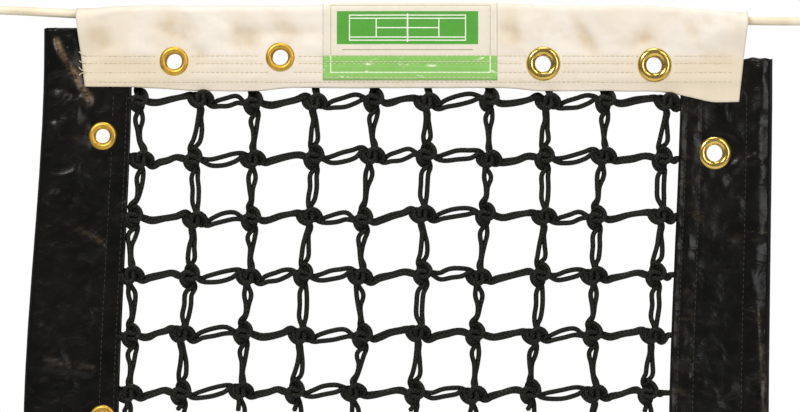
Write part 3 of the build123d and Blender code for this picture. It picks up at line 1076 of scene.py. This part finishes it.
def label_material():
    """Cream film with a green panel that shows a court's plan, a thin outline and a light green strip."""
    s = Shader("label_print").base((0.84, 0.82, 0.76), 0.3)
    at = s.split(s.place())
    cream, panel_green, strip_green = (0.74, 0.70, 0.61), (0.085, 0.35, 0.045), (0.24, 0.52, 0.13)
    left, right, low, high = -0.0570, 0.0502, -0.0202, 0.0049
    strip_top, beyond = -0.0287, 0.1
    blotch = s.span(s.noise(0.01), 0.3, 0.7, 0.0, 0.25)
    lower = inside(s, at, -beyond, beyond, -beyond, strip_top)
    upper = inside(s, at, -beyond, beyond, strip_top, beyond)
    tone = s.mix(lower, cream, strip_green)
    tone = s.mix(inside(s, at, left, right, low, high), tone, panel_green)
    glint = s.span(s.noise(0.006, 3.0, (0.5, 1, 1.4), 0.6), 0.64, 0.70, 0.0, 0.75)
    strip = inside(s, at, -beyond, beyond, -0.0455, -0.0300)
    tone = s.mix(s.times(glint, strip), tone, (0.80, 0.90, 0.66))
    outline = frame_line(s, at, -0.0616, 0.0593, -0.0415, 0.0093, 0.7 * MM)
    tone = s.mix(s.times(outline, lower), tone, (0.80, 0.90, 0.72))
    above = s.times(outline, upper)
    tone = s.mix(s.times(above, 0.55), tone, (0.30, 0.29, 0.16))
    court = court_plan(s, at, (left + right) / 2, (low + high) / 2)
    tone = s.mix(court, tone, (0.90, 0.92, 0.86))
    rule = inside(s, at, left + 0.004, right - 0.004, -0.0247, -0.0239)
    tone = s.mix(s.times(rule, 0.7), tone, (0.18, 0.22, 0.12))
    s.colour(s.mix(blotch, tone, s.mix(1.0, tone, (0.86, 0.86, 0.80), "MULTIPLY")))
    s.rough(s.noise(0.008), 0.2, 0.36)
    s.bump(s.noise(0.007), 0.15, 0.0006)
    s.set("Coat Weight", 0.25)
    return s.material


def court_plan(s, at, cx, cz):
    """A tennis court's lines seen from above, as a plain pattern."""
    half_long, half_wide, line = 0.0440, 0.0095, 0.75 * MM
    alley, service = half_wide * 0.75, half_long * 0.54
    outlines = [frame_line(s, at, cx - long, cx + long, cz - wide, cz + wide, line)
                for long, wide in ((half_long, half_wide), (half_long, alley), (service, alley))]
    bars = [inside(s, at, cx - long, cx + long, cz - wide, cz + wide)
            for long, wide in ((service, line / 2), (line * 0.7, half_wide + 0.0012))]
    return s.fold("MAXIMUM", outlines + bars)


# Cable

CABLE_RADIUS = 3.3 * MM
# The free stretches lie on their CAD routes, from the headband's mouths to the ferrules.
LEFT_ROUTE = [(-0.2545, 0, 0.0030), (-0.2790, 0, 0.0043), (-0.3050, 0, 0.0056), (-0.3300, 0, 0.0066)]
RIGHT_ROUTE = [(0.2545, 0, -0.0021), (0.2730, 0, -0.0024), (0.2920, 0, -0.0025), (0.3120, 0, -0.0024)]


def tail(side, route, material):
    """A free stretch of coated cable along its route."""
    curve = bpy.data.curves.new(f"{side}_cable", "CURVE")
    curve.dimensions = "3D"
    curve.bevel_depth = CABLE_RADIUS
    curve.bevel_resolution = 6
    curve.use_fill_caps = True
    spline = curve.splines.new("NURBS")
    spline.points.add(len(route) - 1)
    for point, place in zip(spline.points, route):
        point.co = (*place, 1)
    spline.order_u = 3
    spline.use_endpoint_u = True
    spline.resolution_u = 12
    curve.materials.append(material)
    piece = finish_piece(put(f"{side}_cable", curve), "cable", "cable_vinyl", f"{side}_cable_tail")


def cable_in_headband(material):
    """The coated cable inside the fold. It is straight, but for its last centimetres at each end."""
    bend, end = 0.226, 0.2540
    xs = np.linspace(-end, end, 80)
    rise = [LEFT_ROUTE[0][2] * ease(-x, bend, end) + RIGHT_ROUTE[0][2] * ease(x, bend, end) for x in xs]
    path = np.column_stack([xs, np.zeros(len(xs)), rise])
    return merge_tubes("cable_in_headband", [tube_mesh(path, CABLE_RADIUS, 20)], material)


def finish_piece(piece, body, slot, *nodes):
    """Says what a piece rides on, and hides the CAD nodes that it replaces. Its slot argument is not used."""
    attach(piece, body)
    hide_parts(*nodes)
    return piece


def dress(material, *names):
    """Gives CAD pieces their material."""
    for name in names:
        mesh_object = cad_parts[name]
        if not mesh_object.material_slots:
            mesh_object.data.materials.append(material)
        for slot in mesh_object.material_slots:
            slot.link = "OBJECT"
            slot.material = material


def build_headband():
    """The headband, its label and their stitching. Returns the headband and the label."""
    centres = grommet_centres("headband_left_grommets", "headband_right_grommets")
    strip = finish_piece(headband(white_vinyl_material(), centres), "net", "white_vinyl", "headband")
    thread = thread_material("white_thread", (0.74, 0.66, 0.50))
    lifts = ((0, 2.1), (1, 1.2), (2, -1.6), (2, 2.4))
    loose = [loose_end(STITCH_ROWS[row], lift * MM) for row, lift in lifts]
    rows = headband_stitches(thread, centres, STITCH_ROWS, "headband_stitches", (-0.245, 0.244), (-1, 1),
                             0.5 * MM, loose)
    finish_piece(rows, "net", "white_thread", "headband_stitching")
    film = finish_piece(label(label_material(), centres), "net", "label_sheet", "label")
    rows = headband_stitches(thread, centres, (-0.0335, -0.0455), "label_stitches",
                             (LABEL_LEFT + 0.002, LABEL_RIGHT - 0.002), (-1,), 0.95 * MM)
    finish_piece(rows, "net", "white_thread", "label_stitching")
    return strip, film


def build_bands():
    """The side bands and the bottom band with their stitching. Returns the bottom band."""
    vinyl = black_vinyl_material()
    thread = thread_material("black_thread", (0.035, 0.031, 0.026))
    left = SideBand(-1, "left_band", hang=(0.0052, 0.0080), stitches=(-0.2215, -0.2320),
                    top_wander=lambda x: 0.0, ridges=LEFT_RIDGES, crumple=lambda x: 0.3)
    right = SideBand(1, "right_band", hang=(0.0046, 0.0014), stitches=(0.2050, 0.2166, 0.2520),
                     top_wander=lambda x: 2.6 * MM * wander(x, 0, 0.007, 81), ridges=RIGHT_RIDGES,
                     crumple=lambda x: 0.25 + 1.1 * ease(-x, -0.222, -0.216))
    for band, node in ((left, "left_band"), (right, "right_band")):
        cloth = finish_piece(band.mesh(vinyl, f"{node}_vinyl"), "net", "black_vinyl", node)
        rows = side_stitches(band, thread, f"{node}_stitches")
        finish_piece(rows, "net", "black_thread", f"{node}_stitching")
    hem = finish_piece(bottom_band(vinyl), "net", "black_vinyl", "bottom_band")
    rows = bottom_stitches(thread, "bottom_stitches")
    finish_piece(rows, "net", "black_thread", "bottom_band_stitching")
    return hem


def dress_hardware():
    """Materials for the pieces that keep their CAD shape."""
    satin = brass_material("satin_brass", (0.76, 0.47, 0.075), 0.42)
    polished = brass_material("polished_brass", (0.80, 0.56, 0.15), 0.2)
    aluminium = metal_material("pressed_aluminium", (0.72, 0.73, 0.74), 0.35, 0.0012)
    galvanised = metal_material("galvanised", (0.60, 0.61, 0.62), 0.42, 0.0016)
    rod = fibreglass_material()
    for side, brass in (("left", satin), ("right", polished)):
        dress(brass, *(f"{node}_{part}" for node in (f"headband_{side}", f"{side}_band")
                       for part in ("grommets", "washers")))
        dress(aluminium, f"{side}_ferrule")
        dress(galvanised, f"{side}_eye_wire", f"{side}_thimble")
        dress(rod, f"{side}_dowel")


def build():
    camera_and_light()
    white_world()
    stage_floor()
    ivory = cable_material()
    tail("left", LEFT_ROUTE, ivory)
    tail("right", RIGHT_ROUTE, ivory)
    finish_piece(cable_in_headband(ivory), "cable", "cable_vinyl", "cable_jacket", "wire_core")
    netting(twine_material())
    strip, film = build_headband()
    hem = build_bands()
    dress_hardware()


build()
